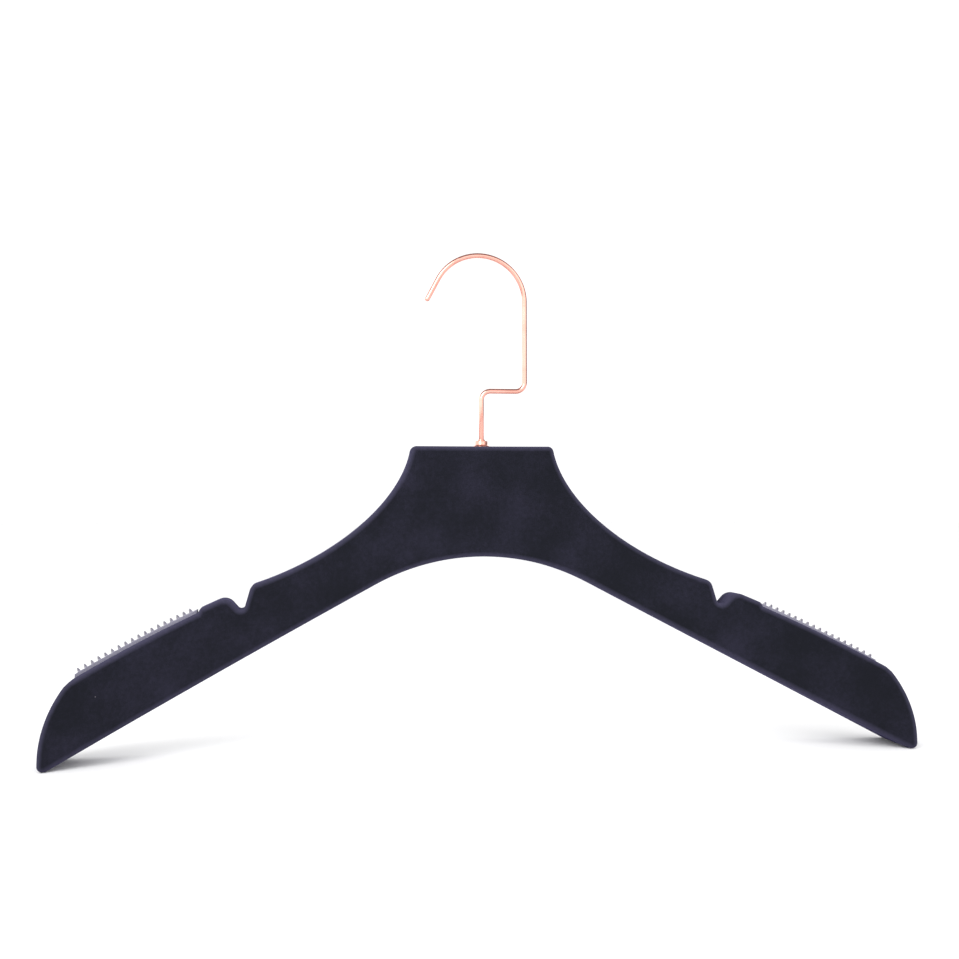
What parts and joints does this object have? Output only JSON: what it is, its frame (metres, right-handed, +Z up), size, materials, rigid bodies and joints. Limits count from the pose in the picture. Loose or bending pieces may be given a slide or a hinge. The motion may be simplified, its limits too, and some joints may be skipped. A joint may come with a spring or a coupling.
{
  "type": "clothes hanger",
  "caption": "Contoured coat hanger with broad shoulders, strap notches, ribbed grip strips and a cranked swivel hook.",
  "frame": {"origin": "the point under the top of the hook's arc where the rail bears, on the swivel axis of the hook", "axes": "+X to the viewer's right along the arms, +Y towards the back, away from the hollow of the bow, +Z up along the swivel axis"},
  "size_m": [0.45, 0.0654, 0.2685],
  "materials": {
    "flock": "moulded plastic coated all over with fine black flock, soft velvet sheen",
    "plated_wire": "steel with polished rose-gold plating",
    "plain_steel": "plain turned steel, hidden inside",
    "nylon": "natural moulded nylon, hidden inside",
    "grip_rubber": "soft moulded rubber, satin"
  },
  "bodies": {
    "hook": {"hook_wire": "plated_wire", "end_stop": "plain_steel"},
    "hanger": {"front_shell": "flock", "rear_shell": "flock", "hook_collar": "plated_wire", "bearing_bush": "nylon", "thrust_washer": "plain_steel", "left_grip_strip": "grip_rubber", "right_grip_strip": "grip_rubber"}
  },
  "joints": [
    {"name": "hook_swivel", "type": "hinge", "parent": "hook", "child": "hanger", "pos_m": [0, 0, -0.10426], "axis": [0, 0, 1], "continuous": true}
  ]
}
